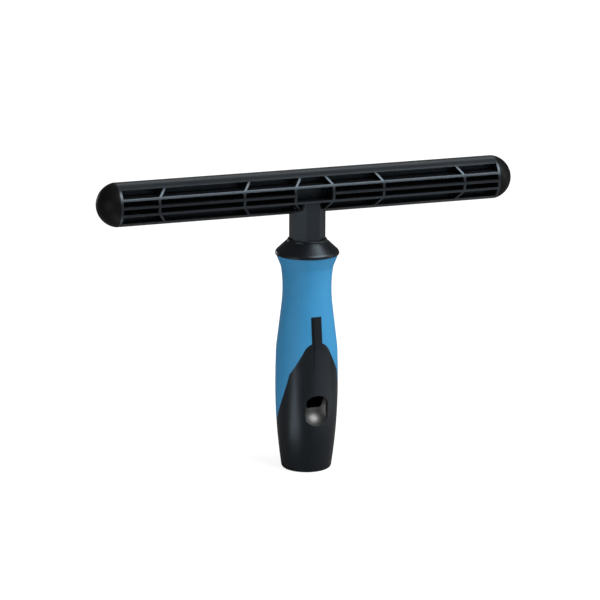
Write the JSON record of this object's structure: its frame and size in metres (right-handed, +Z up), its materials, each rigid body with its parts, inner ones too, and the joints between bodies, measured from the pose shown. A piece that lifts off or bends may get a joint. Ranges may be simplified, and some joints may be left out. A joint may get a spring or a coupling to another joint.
{
  "type": "window scrubber handle",
  "caption": "T-shaped window scrubber handle: ribbed bar with domed ends for a slip-on washing sleeve, on a waisted soft grip with a pole socket and thumb window.",
  "frame": {"origin": "centre of the pole socket's mouth, on the flat lower end of the handle", "axes": "+X along the bar, +Z up the handle to the bar, -Y the side with the thumb window"},
  "size_m": [0.25, 0.0368, 0.1755],
  "materials": {
    "bar_plastic": "fine moulded satin",
    "cap_plastic": "fine moulded satin",
    "collar_plastic": "satin",
    "core_plastic": "matt",
    "cover_plastic": "soft gloss",
    "grip_rubber": "soft matt rubber",
    "screw_steel": "plain turned steel"
  },
  "bodies": {
    "root": {"bar_head": "bar_plastic", "left_end_cap": "cap_plastic", "right_end_cap": "cap_plastic", "collar": "collar_plastic", "handle_core": "core_plastic", "lower_cover": "cover_plastic", "soft_grip": "grip_rubber", "head_screw": "screw_steel", "screw_washer": "screw_steel"}
  },
  "joints": []
}
